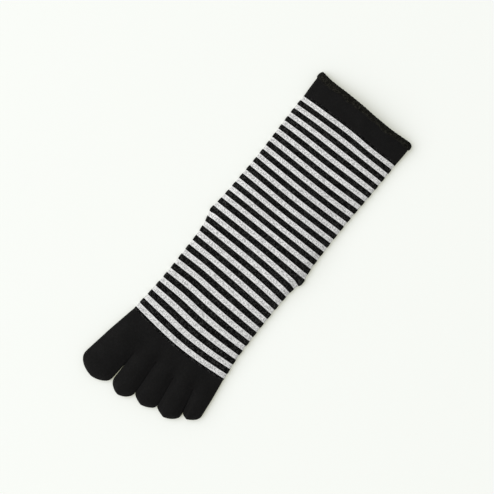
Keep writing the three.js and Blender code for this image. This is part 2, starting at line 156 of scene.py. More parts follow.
# How the courses lie: how far along, then how far they stand towards the mouth at the left edge, halfway
# to the middle, in the middle, halfway to the right edge and at the right edge.
ACROSS = (-1.0, -0.5, 0.0, 0.5, 1.0)
COURSE_LIE = [
    (-104.0, 1.3, -0.89, -1.93, -0.93, 1.35),
    (-92.0, 0.96, -0.43, -1.8, -1.14, 0.86),
    (-80.0, 0.96, 0.47, -0.96, -0.91, 0.2),
    (-68.0, 0.77, 0.98, -0.15, -0.47, -0.02),
    (-56.0, 0.81, 1.39, 0.5, -0.03, -0.25),
    (-44.0, 1.04, 1.61, 0.96, 0.3, -0.4),
    (-32.0, 1.17, 1.45, 1.19, 0.55, -0.44),
    (-20.0, 1.09, 1.21, 1.22, 0.74, -0.5),
    (-8.0, 0.57, 0.8, 0.96, 0.64, -0.32),
    (4.0, -0.05, 0.33, 0.56, 0.53, 0.36),
    (16.0, -0.3, 0.05, 0.22, 0.45, 0.87),
    (28.0, -0.2, -0.18, -0.14, 0.33, 1.1),
    (40.0, -0.04, -0.37, -0.43, 0.26, 1.32),
    (52.0, -0.01, -0.32, -0.41, 0.3, 1.57),
    (64.0, -0.2, -0.24, -0.18, 0.48, 1.86),
    (76.0, -0.48, -0.27, -0.12, 0.71, 2.07),
    (88.0, -0.79, -0.24, 0.01, 0.88, 1.97),
    (100.0, -1.28, -0.3, 0.27, 0.9, 1.72),
    (112.0, -1.75, -0.68, 0.34, 0.5, 1.55),
    (118.0, -1.85, -0.9, 0.12, 0.15, 1.35),
    (134.4, -0.6, -0.3, 0.0, 0.3, 0.6),
    (140.0, 0.0, 0.0, 0.0, 0.0, 0.0),
]

# How the mouth's edge waves on the top side: how far across it is, and how far it lies along the sock
# from a straight mouth.
MOUTH_WAVE = [
    (-1.0, 0.4),
    (-0.76, -1.2),
    (-0.44, -1.1),
    (-0.07, -1.15),
    (0.35, -1.85),
    (0.6, -1.15),
    (0.9, 0.3),
    (1.0, 0.0),
]
WAVE_START = 128.0

# The hem's corners: where they start across and along, over what length they come in, how far they draw in
# on the left and on the right, and how much further along the right one stands.
CORNER_ACROSS = 0.8
CORNER_START = 132.0
CORNER_LENGTH = 4
LEFT_DRAW, RIGHT_DRAW = 0.2, 0.25
RIGHT_REACH = 0.45

# The mouth's edge is finely ribbed, and the line where the hem is sewn down wanders along the band. The
# wandering fades out towards the mouth, and stays on the hem's outer face.
RIB_HEIGHT = 0.12
RIB_STEPS = 1.5
WANDER_REACH = 1.9
WANDER_WIDTH = 7.5
WANDER_END, WANDER_FADE = 138, 3
OUTER_FACE = 0.2
HEM_LOWEST = 0.05

# The turned hem, from its outside at the hem line over the mouth and back down inside: how far along it
# is, and how far it lies inside the band's outer face.
HEM_PROFILE = [
    (133.9, 0.1),
    (134.3, -0.6),
    (135.0, -1.15),
    (136.2, -1.35),
    (137.6, -1.2),
    (138.8, -0.8),
    (139.6, -0.2),
    (140.0, 0.5),
    (139.9, 1.1),
    (139.4, 1.6),
    (138.4, 1.95),
    (136.8, 2.1),
    (135.2, 2.0),
    (133.6, 1.95),
    (131.5, 2.0),
    (129.8, 1.9),
    (129.2, 1.75),
    (130.6, 1.55),
    (132.6, 1.3),
    (133.8, 0.8),
]

# How deep the folded heel pouch is, from its middle to its side.
POUCH_OUTLINE = [
    (0.0, 34.0),
    (8.7, 33.5),
    (15.8, 30.6),
    (22.1, 24.5),
    (28.4, 17.0),
    (34.8, 9.2),
    (39.5, 4.1),
]

# The share of the pouch's rows that the lower layer ends at, and that the upper one starts at. Between
# them it turns round its edge. Both layers are a little rumpled, each in its own way.
LOWER_LAYER, UPPER_LAYER = 0.42, 0.58
RUMPLE_WIDTH, RUMPLE_LENGTH, RUMPLE_HEIGHT = 7, 6, 0.12

# The corners of the line where the toe box divides into toes, across and along. Those between are the
# crotches.
ROOTS = [
    (-47.6, -126.0),
    (-20.13, -127.8),
    (-1.95, -121.5),
    (16.53, -122.9),
    (34.52, -120.6),
    (51.6, -118.0),
]

# The toes from the big toe to the little one: how high each stands, then three places across and along:
# its tip, and where the rounding of its tip starts on its left and on its right. The last number of a
# rounding says how much it cuts its corner.
TOES = [
    (9.0, (-34.5, -165.5), (-51.5, -153.6, 1.15), (-20.9, -156.5, 1.4)),
    (8.2, (-9.7, -163.5), (-20.3, -154.5, 1.3), (0.85, -153.8, 1.35)),
    (8.2, (10.2, -158.1), (0.35, -152.5, 1.6), (21.1, -150.5, 1.75)),
    (8.2, (30.2, -154.2), (20.65, -150.0, 1.8), (40.9, -144.4, 1.65)),
    (7.8, (45.7, -143.8), (39.85, -141.2, 1.7), (53.9, -135.0, 2.0)),
]

# The points of the toe section's rings, round each side fold and across each toe, and the rows of faces
# along its box, along the straight part of a toe and round its tip.
BOX_FOLD = 6
BOX_TOE = 8
BOX_FLAT = BOX_TOE * len(TOES)
BOX_RING = 2 * (BOX_FOLD + BOX_FLAT)
BOX_ROWS = 8
TOE_ROWS = 8
TIP_ROWS = 7

# The box's first ring is tucked inside the tube, and its points slide to the toes' own places over the
# first part of its length. Its top turns to the toes' scalloped one late.
BOX_TUCK = 0.15
SLIDE_SHARE = 0.3
SCALLOP_POWER = 1.5

# A toe's sides start square at the web, and are round from this share of its straight part on. Its tip
# tapers in height by a power, and its two side folds keep a little apart.
WEB_SQUARENESS = 0.45
ROUND_FROM = 0.6
TIP_TAPER = 0.7
FOLDS_APART = 0.1

# The web at a crotch bows a little towards the leg. On a toe's map the straight part takes most of the
# courses, and each point of its ring takes this many wales.
WEB_BOW = 0.3
STRAIGHT_SHARE = 0.75
WALES_PER_POINT = 1.65


def ease(share):
    """A slow start and a slow end between 0 and 1."""
    share = min(max(share, 0.0), 1.0)
    return share * share * (3 - 2 * share)


def mix(start, end, share):
    return start + (end - start) * share


def smooth_value(rows, along, column):
    """A column of one of the tables above at a place along it, on a smooth curve through its rows."""
    last = len(rows) - 1
    row = 0
    while row < last - 1 and along > rows[row + 1][0]:
        row += 1

    def slope(at):
        before, after = rows[max(at - 1, 0)], rows[min(at + 1, last)]
        return (after[column] - before[column]) / (after[0] - before[0])

    span = rows[row + 1][0] - rows[row][0]
    t = min(max((along - rows[row][0]) / span, 0.0), 1.0)
    return (
        rows[row][column] * (2 * t**3 - 3 * t**2 + 1)
        + rows[row + 1][column] * (3 * t**2 - 2 * t**3)
        + span * slope(row) * (t**3 - 2 * t**2 + t)
        + span * slope(row + 1) * (t**3 - t**2)
    )


def on_row(x, y, z):
    """A point of the sock as a place in the frame, in metres."""
    return Vector(((x + MIDDLE_X) * MM, (y + ANKLE_Y) * MM, z * MM))


def crowned(x, left, right, fold, crown):
    """How high a top side stands at x, from its folds at left and right up to its crown."""
    across = min(max((2 * x - left - right) / (right - left - fold), -1.0), 1.0)
    return fold + (crown - fold) * (1 - abs(across) ** CROWN_POWER)


# The knitting


def place_of_course(course):
    """How far along the sock a course lies, counted from the toe line."""
    if course <= FOOT_COURSES:
        return course * FOOT_COURSE - FOOT_LENGTH
    ankle = FOOT_COURSES * FOOT_COURSE - FOOT_LENGTH
    return ankle + (course - FOOT_COURSES) * LEG_COURSE


def heel_flare(along, across):
    """How far a course leans away from the ankle line at the tube's sides."""
    side = ease((abs(across) - LEAN_START) / (1 - LEAN_START))
    if across < 0:
        side *= LEFT_LEAN
    if along < 0:
        return -LEAN_TO_TOES * side * math.exp(along / FADE_TO_TOES)
    return LEAN_TO_MOUTH * side * math.exp(-along / FADE_TO_MOUTH)


def course_line(along, across):
    """How far along the sock a point of a course lies, given how far across it is from -1 to 1."""
    lie = [(at, smooth_value(COURSE_LIE, along, 1 + i)) for i, at in enumerate(ACROSS)]
    return along + smooth_value(lie, across, 1) + heel_flare(along, across)


def yarn_relief(course):
    """How far a course's yarn stands above the even knit, less than 0 for the black."""
    if not 0 <= course <= CUFF_COURSE:
        return 0.0
    phase = (course / STRIPE_COURSES) % 2
    puff = math.sin(math.pi * phase) if phase < 1 else -math.sin(math.pi * (phase - 1))
    return YARN_RELIEF * puff


# The folded tube


def pouch_depth(x):
    """How far up the leg the pouch reaches at x."""
    return smooth_value(POUCH_OUTLINE, min(abs(x), POUCH_HALF), 1)


def pouch_side(x):
    """1 above the pouch and 0 at the tube's sides."""
    return 1 - ease((abs(x) - POUCH_HALF) / (TUBE_HALF - POUCH_HALF))


def pouch_lift(x, along, fall):
    """How far the pouch lifts the leg, which comes down again over a fall past it."""
    past = (along - pouch_depth(x) - POUCH_MARGIN) / fall
    return POUCH_LIFT * pouch_side(x) * (1 - ease(past))


def hem_rise(along):
    """How far the underside stands off the floor from the cuff to the fuller hem."""
    return HEM_BULGE * ease((along - CUFF_LINE) / (HEM_LINE - CUFF_LINE))


def tube_edges(along):
    """Where the tube's left and right edges lie."""
    left = -TUBE_HALF * smooth_value(OUTLINE, along, 1)
    right = TUBE_HALF * smooth_value(OUTLINE, along, 2)
    return left, right


def tube_floor(x, along):
    """How high the tube's underside stands."""
    if along < 0:
        return 0.0
    return pouch_lift(x, along, SOLE_FALL) + hem_rise(along)


def tube_top(x, along, left, right, fold):
    """How high the tube's top side stands between its edges."""
    crown = smooth_value(OUTLINE, along, 3)
    top = crowned(x, left, right, fold, crown)
    if along < 0:
        return top + POUCH_LIFT * pouch_side(x) * ease(1 + along / ANKLE_RISE)
    return top + pouch_lift(x, along, TOP_FALL) + hem_rise(along)


def round_fold(left, right, fold, inset, step, fold_points, flat_points):
    """A point of a flattened ring, from the middle of its left fold over the top, round the right fold
    and back along the sole: its place across, its height at a fold, and which part it belongs to."""
    half = fold / 2
    radius = half - inset
    step %= 2 * (fold_points + flat_points)
    step += fold_points / 2
    span = fold_points + flat_points
    part, rest = divmod(step, span)
    part = int(part) % 2
    if rest <= fold_points:
        turn = math.pi * rest / fold_points
        if part == 0:
            return (
                left + half - radius * math.sin(turn),
                half - radius * math.cos(turn),
                "left",
            )
        return (
            right - half + radius * math.sin(turn),
            half + radius * math.cos(turn),
            "right",
        )
    share = (rest - fold_points) / flat_points
    if part == 0:
        return mix(left + half, right - half, share), None, "top"
    return mix(right - half, left + half, share), None, "sole"


def tube_point(along, step, inset=0.0):
    """A point of the leg, the foot or the cuff, on its course line."""
    left, right = tube_edges(along)
    x, z, part = round_fold(
        left, right, FOLD_HEIGHT, inset, step, FOLD_POINTS, FLAT_POINTS
    )
    half = FOLD_HEIGHT / 2
    if part == "top":
        z = tube_top(x, along, left, right, FOLD_HEIGHT) - inset
    elif part == "sole":
        z = inset + tube_floor(x, along)
    elif part == "left":
        z += tube_floor(left + half, along)
    else:
        z += tube_floor(right - half, along)
    across = (2 * x - left - right) / (right - left)
    return x, course_line(along, across), z, part


def soft_unevenness(x, y, z, part):
    """How far a point of the top side stands above or below its even place."""
    if part == "sole":
        return 0.0
    swell = noise.noise(Vector((x / SWELL_WIDTH, y / SWELL_LENGTH, 3.7)))
    dimple = noise.noise(Vector((x / DIMPLE_WIDTH, y / DIMPLE_LENGTH, 11.2)))
    uneven = SWELL_HEIGHT * swell + DIMPLE_HEIGHT * dimple
    return uneven * ease(z / FOLD_HEIGHT)


def new_knit():
    """An empty mesh with the map that its knit is drawn on, in wales across and courses along."""
    shape = bmesh.new()
    return shape, shape.loops.layers.uv.new("knit")


def ring_grid(shape, knit, rows, first, last):
    """A flat grid, one column for each point of a ring, whose map runs over the wales and the courses."""
    bmesh.ops.create_grid(
        shape, x_segments=RING_POINTS, y_segments=rows, size=1, calc_uvs=True
    )
    for face in shape.faces:
        face.smooth = True
        for corner in face.loops:
            spot = corner[knit].uv
            corner[knit].uv = (spot.x * WALES, mix(first, last, spot.y))


def finish_piece(shape, name, finish, stands_for, wall=0.0, levels=0):
    """Closes the seams, turns the faces outwards and dresses the piece."""
    bmesh.ops.remove_doubles(shape, verts=shape.verts, dist=SAME_POINT * MM)
    bmesh.ops.recalc_face_normals(shape, faces=shape.faces)
    highest = max(shape.faces, key=lambda face: face.calc_center_median().z)
    if highest.normal.z < 0:
        bmesh.ops.reverse_faces(shape, faces=shape.faces)
    mesh = bpy.data.meshes.new(name)
    shape.to_mesh(mesh)
    shape.free()
    piece = bpy.data.objects.new(name, mesh)
    bpy.context.scene.collection.objects.link(piece)
    piece.data.materials.append(finish)
    if levels:
        rounding = piece.modifiers.new("soften", "SUBSURF")
        rounding.levels = rounding.render_levels = levels
    if wall:
        thickness = piece.modifiers.new("knit wall", "SOLIDIFY")
        thickness.thickness = wall * MM
        thickness.offset = -1
    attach(piece, "root")
    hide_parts(*stands_for)
    return piece


# Materials


class Maker:
    """Adds nodes to one material and joins them up."""

    def __init__(self, name):
        self.material = bpy.data.materials.new(name)
        self.material.use_nodes = True
        self.tree = self.material.node_tree
        self.shader = self.tree.nodes["Principled BSDF"]

    def put(self, value, socket):
        if isinstance(value, bpy.types.NodeSocket):
            self.tree.links.new(value, socket)
        else:
            socket.default_value = value

    def math(self, kind, *values):
        node = self.tree.nodes.new("ShaderNodeMath")
        node.operation = kind
        for value, socket in zip(values, node.inputs):
            self.put(value, socket)
        return node.outputs[0]

    def between(self, value, low, high, to_low=0.0, to_high=1.0):
        node = self.tree.nodes.new("ShaderNodeMapRange")
        node.interpolation_type = "SMOOTHSTEP"
        for given, socket in zip((value, low, high, to_low, to_high), node.inputs):
            self.put(given, socket)
        return node.outputs[0]

    def blend(self, share, first, second):
        node = self.tree.nodes.new("ShaderNodeMix")
        node.data_type = "RGBA"
        colours = [socket for socket in node.inputs if socket.type == "RGBA"]
        self.put(share, node.inputs["Factor"])
        self.put(first, colours[0])
        self.put(second, colours[1])
        return next(socket for socket in node.outputs if socket.type == "RGBA")

    def joined(self, x, y, z=0.0):
        node = self.tree.nodes.new("ShaderNodeCombineXYZ")
        for value, socket in zip((x, y, z), node.inputs):
            self.put(value, socket)
        return node.outputs[0]

    def map_of(self, name):
        node = self.tree.nodes.new("ShaderNodeUVMap")
        node.uv_map = name
        parts = self.tree.nodes.new("ShaderNodeSeparateXYZ")
        self.tree.links.new(node.outputs[0], parts.inputs[0])
        return parts.outputs[0], parts.outputs[1]

    def place(self):
        return self.tree.nodes.new("ShaderNodeTexCoord").outputs["Object"]

    def cloud(self, where, scale, detail=2.0, roughness=0.5):
        node = self.tree.nodes.new("ShaderNodeTexNoise")
        self.put(where, node.inputs["Vector"])
        node.inputs["Scale"].default_value = scale
        node.inputs["Detail"].default_value = detail
        node.inputs["Roughness"].default_value = roughness
        return node.outputs["Fac"]


# How many courses a strand slants over, how full it is across and along, how deep a stitch is, how fine
# the cotton's fuzz is, and how much it shows in the relief beside the stitches.
STRAND_SLANT = 0.55
FULL_ACROSS, FULL_ALONG = 0.6, 0.5
STITCH_DEPTH = 0.35
FUZZ_SCALE = 2600
FUZZ_SHARE = 0.35

# How far a yarn's tone runs on along each wale, and how far apart the tones of two courses' yarns are.
TONE_RUN = 1.6
TONE_STEP = 7.3


def stocking_stitch(maker):
    """Rows of stitches, each a pair of strands that meet in a V. It gives how far along the courses a
    point of a strand is, its height above the gaps, and a tone that changes along each course's yarn."""
    wale, course = maker.map_of("knit")
    in_wale = maker.math("FRACT", wale)
    arm = maker.math("ABSOLUTE", maker.math("MULTIPLY_ADD", in_wale, 2.0, -1.0))
    slanted = maker.math("MULTIPLY_ADD", arm, STRAND_SLANT, course)
    in_course = maker.math("FRACT", slanted)
    row = maker.math("FLOOR", slanted)
    strand = maker.math("SINE", maker.math("MULTIPLY", in_course, math.pi))
    strand = maker.math("POWER", strand, FULL_ACROSS)
    gap = maker.math("SINE", maker.math("MULTIPLY", arm, math.pi))
    gap = maker.math("POWER", gap, FULL_ALONG)
    height = maker.math("MULTIPLY", strand, gap)
    # Each course's yarn runs along a line of its own through the cloud.
    line = maker.math("MULTIPLY", row, TONE_STEP)
    yarn = maker.joined(maker.math("MULTIPLY", wale, TONE_RUN), line, 0.4)
    tone = maker.between(maker.cloud(yarn, scale=1.0, detail=0.0), 0.32, 0.68)
    return slanted, height, tone


def cotton_fuzz(maker):
    """The fine down of cotton's fibres."""
    return maker.cloud(maker.place(), FUZZ_SCALE, roughness=0.6)


def dress_yarn(maker, colour, height, fuzz):
    """Gives a knit its colour, its stitches' relief and cotton's dull, faintly downy surface."""
    bump = maker.tree.nodes.new("ShaderNodeBump")
    bump.inputs["Strength"].default_value = 0.8
    bump.inputs["Distance"].default_value = STITCH_DEPTH * MM
    maker.put(maker.math("MULTIPLY_ADD", fuzz, FUZZ_SHARE, height), bump.inputs["Height"])
    maker.put(bump.outputs[0], maker.shader.inputs["Normal"])
    maker.put(colour, maker.shader.inputs["Base Color"])
    maker.shader.inputs["Roughness"].default_value = 0.92
    maker.shader.inputs["Specular IOR Level"].default_value = 0.04
    maker.shader.inputs["Sheen Weight"].default_value = 0.02
    maker.shader.inputs["Sheen Roughness"].default_value = 0.5
    return maker.material


# The yarns' colours, each in its gaps, where it is darkened as painted shade, and on its lighter strands,
# whose tops carry painted highlight besides the yarn's own flecks.
BLACK = (0.0050, 0.0049, 0.0048, 1)
BLACK_LIT = (0.0215, 0.0210, 0.0206, 1)
DEEP_BLACK = (0.0012, 0.0012, 0.0012, 1)
BLACK_FLECK_LIT = (0.076, 0.0754, 0.0725, 1)
HEM_BLACK = (0.0048, 0.0047, 0.0036, 1)
WORN_BLACK_LIT = (0.050, 0.0485, 0.037, 1)
GREY_DEEP = (0.24, 0.24, 0.24, 1)
GREY = (1.0, 1.0, 0.985, 1)

# How far the black loops reach over the grey ones, in courses.
BLACK_REACH = 0.3

# How light the grey is everywhere, and what the yarn's tone, its fuzz and a stripe's borders add.
GREY_LIGHT = 0.21
TONE_LIGHT = 0.8
FUZZ_LIGHT = 0.3
BORDER_LIGHT = 0.6

# The hem's outer ridge gets a painted highlight: the courses over which it fades in and out, and how light
# the knit is past it and on it.
RIDGE_IN = (0.5, 2.0)
RIDGE_OUT = (8.0, 3.0)
RIDGE_LIGHT = (0.75, 1.7)


def black_yarn(maker, height, tone, fuzz, deep, lit, mixed, fleck):
    """Black cotton, with lighter tops on the strands as painted highlight and darker gaps between them as
    painted shade. The yarn's tone matters more the nearer mixed is to 1, and a higher fleck leaves fewer
    light tops."""
    share = maker.math("MULTIPLY_ADD", tone, mixed, 1.0 - mixed)
    share = maker.math("POWER", share, fleck)
    # Painted shade and highlight: a strand's height makes its top lighter and the gaps beside it darker.
    share = maker.math("MULTIPLY", share, height)
    down = maker.between(fuzz, 0.3, 0.75, to_low=0.3)
    share = maker.math("MULTIPLY", share, down)
    patches = maker.cloud(maker.place(), scale=70, detail=1.0)
    patches = maker.between(patches, 0.3, 0.7, to_low=0.85, to_high=1.15)
    share = maker.math("MULTIPLY", share, patches)
    return maker.blend(share, deep, lit)


def grey_yarn(maker, height, tone, fuzz, border):
    """Light grey marl, whose tone changes along the yarn, with painted shade in the gaps between its
    strands. A stripe's first and last courses are lightest.
    """
    # Painted shade: the gaps between the strands are darker.
    lit = maker.between(height, 0.05, 0.75, to_low=0.35)
    down = maker.math("MULTIPLY", fuzz, FUZZ_LIGHT)
    tone = maker.math("MULTIPLY_ADD", tone, TONE_LIGHT, down)
    border = maker.math("POWER", border, 3.0)
    tone = maker.math("MULTIPLY_ADD", border, BORDER_LIGHT, tone)
    share = maker.math("MULTIPLY", lit, maker.math("ADD", tone, GREY_LIGHT))
    return maker.blend(maker.math("MINIMUM", share, 1.0), GREY_DEEP, GREY)


def black_knit():
    maker = Maker("black cotton knit")
    _, height, tone = stocking_stitch(maker)
    fuzz = cotton_fuzz(maker)
    colour = black_yarn(
        maker, height, tone, fuzz, BLACK, BLACK_LIT, mixed=0.35, fleck=1.0
    )
    return dress_yarn(maker, colour, height, fuzz)


def worn_highlit_hem_knit():
    """The same black knit, worn browner, with a painted highlight that makes the hem's outer ridge lighter
    and the rest of the hem a little darker.
    """
    maker = Maker("black hem knit")
    slanted, height, tone = stocking_stitch(maker)
    # Painted highlight: more light strand tops near the hem's outer ridge, fewer past it.
    painted_ridge_highlight = maker.between(slanted, *RIDGE_OUT, *RIDGE_LIGHT)
    painted_ridge_highlight = maker.math("MULTIPLY", painted_ridge_highlight, maker.between(slanted, *RIDGE_IN))
    height = maker.math("MULTIPLY", height, painted_ridge_highlight)
    fuzz = cotton_fuzz(maker)
    colour = black_yarn(
        maker, height, tone, fuzz, HEM_BLACK, WORN_BLACK_LIT, mixed=1.0, fleck=2.6
    )
    return dress_yarn(maker, colour, height, fuzz)


def inside(maker, value, low, high):
    """1 where a value is between two others, and 0 elsewhere."""
    above = maker.math("GREATER_THAN", value, low)
    return maker.math("MULTIPLY", above, maker.math("LESS_THAN", value, high))


def striped_knit():
    """Six courses of grey and six of black by turns, from the toe line to the cuff. The black loops reach
    over the grey ones beside them, and a black stripe is lighter in its middle than at its borders."""
    maker = Maker("grey and black striped knit")
    slanted, height, tone = stocking_stitch(maker)
    fuzz = cotton_fuzz(maker)
    in_pair = maker.math("FLOORED_MODULO", slanted, 2.0 * STRIPE_COURSES)
    is_grey = maker.math(
        "MULTIPLY",
        inside(maker, in_pair, BLACK_REACH, STRIPE_COURSES - BLACK_REACH),
        inside(maker, slanted, 0.0, CUFF_COURSE),
    )
    in_stripe = maker.math("FRACT", maker.math("DIVIDE", slanted, STRIPE_COURSES))
    border = maker.math("ABSOLUTE", maker.math("MULTIPLY_ADD", in_stripe, 2.0, -1.0))
    middle = maker.between(border, 1.0, 0.35, to_low=0.05, to_high=1.3)
    shown = maker.math("MULTIPLY", height, middle)
    black = black_yarn(
        maker, shown, tone, fuzz, DEEP_BLACK, BLACK_FLECK_LIT, mixed=1.0, fleck=3.4
    )
    grey = grey_yarn(maker, height, tone, fuzz, border)
    colour = maker.blend(is_grey, black, grey)
    return dress_yarn(maker, colour, height, fuzz)


BLACK_KNIT = black_knit()
WORN_HIGHLIT_HEM_KNIT = worn_highlit_hem_knit()
STRIPED_KNIT = striped_knit()


# The pieces


def knit_striped_tube():
    """The leg and the foot, one tube from the toe box to the cuff band."""
    shape, knit = new_knit()
    first, last = -END_COURSES, CUFF_COURSE + END_COURSES
    ring_grid(shape, knit, TUBE_ROWS, first, last)
    for vert in shape.verts:
        step = round((vert.co.x + 1) / 2 * RING_POINTS)
        course = mix(first, last, (vert.co.y + 1) / 2)
        x, y, z, part = tube_point(place_of_course(course), step)
        relief = yarn_relief(course)
        if part == "left":
            x += SIDE_RELIEF * relief
        elif part == "right":
            x -= SIDE_RELIEF * relief
        elif part == "top":
            z += relief
        z += soft_unevenness(x, y, z, part)
        vert.co = on_row(x, y, z)
    return finish_piece(
        shape,
        "striped_tube",
        STRIPED_KNIT,
        ("leg_tube", "foot_tube"),
        wall=KNIT_WALL,
    )


def knit_cuff_band():
    """The black band between the last grey stripe and the hem."""
    shape, knit = new_knit()
    first = CUFF_COURSE + END_COURSES
    last = first + BAND_COURSES
    ring_grid(shape, knit, BAND_ROWS, first, last)
    for vert in shape.verts:
        step = round((vert.co.x + 1) / 2 * RING_POINTS)
        course = mix(first, last, (vert.co.y + 1) / 2)
        x, y, z, part = tube_point(place_of_course(course), step)
        z += soft_unevenness(x, y, z, part)
        vert.co = on_row(x, y, z)
    return finish_piece(
        shape, "cuff_band", BLACK_KNIT, ("cuff_band",), wall=CUFF_WALL
    )


def turn_cuff_hem():
    """The hem: the knit turned inwards over the mouth, fuller than the band and slightly wavy."""
    shape, knit = new_knit()
    rows = len(HEM_PROFILE)
    ring_grid(shape, knit, rows, 0.0, HEM_COURSES)
    for vert in shape.verts:
        step = round((vert.co.x + 1) / 2 * RING_POINTS)
        along, inset = HEM_PROFILE[round((vert.co.y + 1) / 2 * rows) % rows]
        x, y, z, part = tube_point(along, step, inset)
        left, right = tube_edges(along)
        across = min(max((2 * x - left - right) / (right - left), -1.0), 1.0)
        mouth = ease((along - WAVE_START) / (MOUTH_LINE - WAVE_START))
        if part != "sole":
            y += smooth_value(MOUTH_WAVE, across, 1) * mouth
        corner = ease((abs(across) - CORNER_ACROSS) / (1 - CORNER_ACROSS))
        corner *= ease((along - CORNER_START) / CORNER_LENGTH)
        if across > 0:
            x -= RIGHT_DRAW * corner
            y += RIGHT_REACH * corner
        else:
            x += LEFT_DRAW * corner
        y += RIB_HEIGHT * math.sin(step * math.pi / RIB_STEPS) * mouth
        if part == "top" and inset < OUTER_FACE and along < WANDER_END:
            wander = noise.noise(Vector((x / WANDER_WIDTH, 2.3, 0.4)))
            y += WANDER_REACH * wander * ease((WANDER_END - along) / WANDER_FADE)
        z += soft_unevenness(x, y, z, part)
        vert.co = on_row(x, y, max(z, HEM_LOWEST))
    return finish_piece(
        shape, "cuff_hem", WORN_HIGHLIT_HEM_KNIT, ("cuff_hem",)
    )


def fold_heel_pouch():
    """The heel, a bag of two layers folded flat beneath the leg, open towards the foot."""
    shape, knit = new_knit()
    bmesh.ops.create_grid(
        shape, x_segments=POUCH_COLUMNS, y_segments=POUCH_ROWS, size=1, calc_uvs=True
    )
    for face in shape.faces:
        face.smooth = True
        for corner in face.loops:
            spot = corner[knit].uv
            corner[knit].uv = (spot.x * POUCH_WALES, spot.y * POUCH_COURSES)
    tip = POUCH_THICKNESS / 2
    for vert in shape.verts:
        x = vert.co.x * POUCH_HALF
        share = (vert.co.y + 1) / 2
        edge = pouch_depth(x) - tip
        if share < LOWER_LAYER:
            y, z = mix(-PIECE_GAP, edge, share / LOWER_LAYER), 0.0
        elif share < UPPER_LAYER:
            turned = (share - LOWER_LAYER) / (UPPER_LAYER - LOWER_LAYER)
            turn = math.pi * (turned - 0.5)
            y, z = edge + tip * math.cos(turn), tip + tip * math.sin(turn)
        else:
            back = (share - UPPER_LAYER) / (1 - UPPER_LAYER)
            y, z = mix(edge, -PIECE_GAP, back), POUCH_THICKNESS
        place = Vector((x / RUMPLE_WIDTH, y / RUMPLE_LENGTH, 2.0 + 3 * z))
        z += RUMPLE_HEIGHT * noise.noise(place)
        vert.co = on_row(x, y, max(z, 0.0))
    return finish_piece(
        shape, "heel_pouch", BLACK_KNIT, ("heel_pouch",), wall=KNIT_WALL
    )


def root_at(x):
    """Which toe a point of the root line belongs to, and how far along the sock it is."""
    toe = 0
    while toe < len(TOES) - 1 and x > ROOTS[toe + 1][0]:
        toe += 1
    (left, from_y), (right, to_y) = ROOTS[toe], ROOTS[toe + 1]
    share = min(max((x - left) / (right - left), 0.0), 1.0)
    return toe, mix(from_y, to_y, share)


def toe_box_point(share, step):
    """A point of the toe box, from the toe line to the root line, with the toes' scalloped top in front."""
    back = place_of_course(BOX_START)
    back_left, back_right = tube_edges(back)
    front_left, front_right = ROOTS[0][0], ROOTS[-1][0]
    left, right = mix(back_left, front_left, share), mix(back_right, front_right, share)
    fold = mix(FOLD_HEIGHT, TOE_FOLD_HEIGHT, share)
    tuck = BOX_TUCK if share == 0 else 0.0
    x, z, part = round_fold(left, right, fold, tuck, step, BOX_FOLD, BOX_FLAT)
    if part in ("top", "sole"):
        column = step % BOX_RING - BOX_FOLD / 2
        if part == "sole":
            column = 2 * BOX_FLAT + BOX_FOLD - column
        toe, rest = divmod(column, BOX_TOE)
        toe = int(toe)
        if toe >= len(TOES):
            toe, rest = len(TOES) - 1, BOX_TOE
        half = TOE_FOLD_HEIGHT / 2
        from_x = ROOTS[toe][0] + (half if toe == 0 else 0)
        to_x = ROOTS[toe + 1][0] - (half if toe == len(TOES) - 1 else 0)
        own = mix(from_x, to_x, rest / BOX_TOE)
        own = mix(left, right, (own - front_left) / (front_right - front_left))
        own = min(max(own, left + fold / 2), right - fold / 2)
        x = mix(x, own, ease(share / SLIDE_SHARE))
    across = (2 * x - left - right) / (right - left)
    front_x = mix(front_left, front_right, (across + 1) / 2)
    toe, root_y = root_at(front_x)
    if part == "top":
        back_x = mix(back_left, back_right, (across + 1) / 2)
        behind = tube_top(back_x, back, back_left, back_right, FOLD_HEIGHT)
        sides = ROOTS[toe][0], ROOTS[toe + 1][0]
        ahead = crowned(front_x, *sides, TOE_FOLD_HEIGHT, TOES[toe][0])
        z = mix(behind, ahead, share**SCALLOP_POWER) - tuck
    elif part == "sole":
        z = tuck
    return x, mix(course_line(back, across), root_y, share), z, part


def toe_point(number, straight, tip, step):
    """A point of a toe. straight goes from 0 at its root to 1 where the rounding of its tip starts, and
    tip from 0 there to nearly 1 at the very tip. step goes over its top, down its side, back along its
    sole and up its other side."""
    tall, end, left_corner, right_corner = TOES[number]
    outer_left, outer_right = number == 0, number == len(TOES) - 1
    turned = math.cos(math.pi / 2 * tip)

    def side(root, corner, press):
        if tip == 0:
            return (
                mix(root[0] + press, corner[0], straight),
                mix(root[1], corner[1], straight),
            )
        return (
            end[0] + (corner[0] - end[0]) * turned ** corner[2],
            corner[1] + (end[1] - corner[1]) * math.sin(math.pi / 2 * tip),
        )

    left_press = 0 if outer_left else -ROOT_PRESS / 2
    right_press = 0 if outer_right else ROOT_PRESS / 2
    low, low_y = side(ROOTS[number], left_corner, left_press)
    high, high_y = side(ROOTS[number + 1], right_corner, right_press)
    scale = turned**TIP_TAPER
    half_fold = TOE_FOLD_HEIGHT / 2 * scale
    if high - low < 2 * half_fold + FOLDS_APART:
        half_fold = (high - low - FOLDS_APART) / 2
    floor = TOE_FOLD_HEIGHT / 2 - half_fold
    step += BOX_FOLD / 2
    x, z, part = round_fold(low, high, 2 * half_fold, 0.0, step, BOX_FOLD, BOX_TOE)
    if part == "top":
        z = crowned(x, low, high, 2 * half_fold, tall * scale)
    elif part == "sole":
        z = 0.0
    else:
        outer = outer_left if part == "left" else outer_right
        power = 1.0
        if not outer and tip == 0:
            power = mix(WEB_SQUARENESS, 1.0, ease(straight / ROUND_FROM))
        centre = low + half_fold if part == "left" else high - half_fold
        out = (x - centre) / half_fold
        x = centre + half_fold * math.copysign(abs(out) ** power, out)
    return x, mix(low_y, high_y, (x - low) / (high - low)), z + floor, part


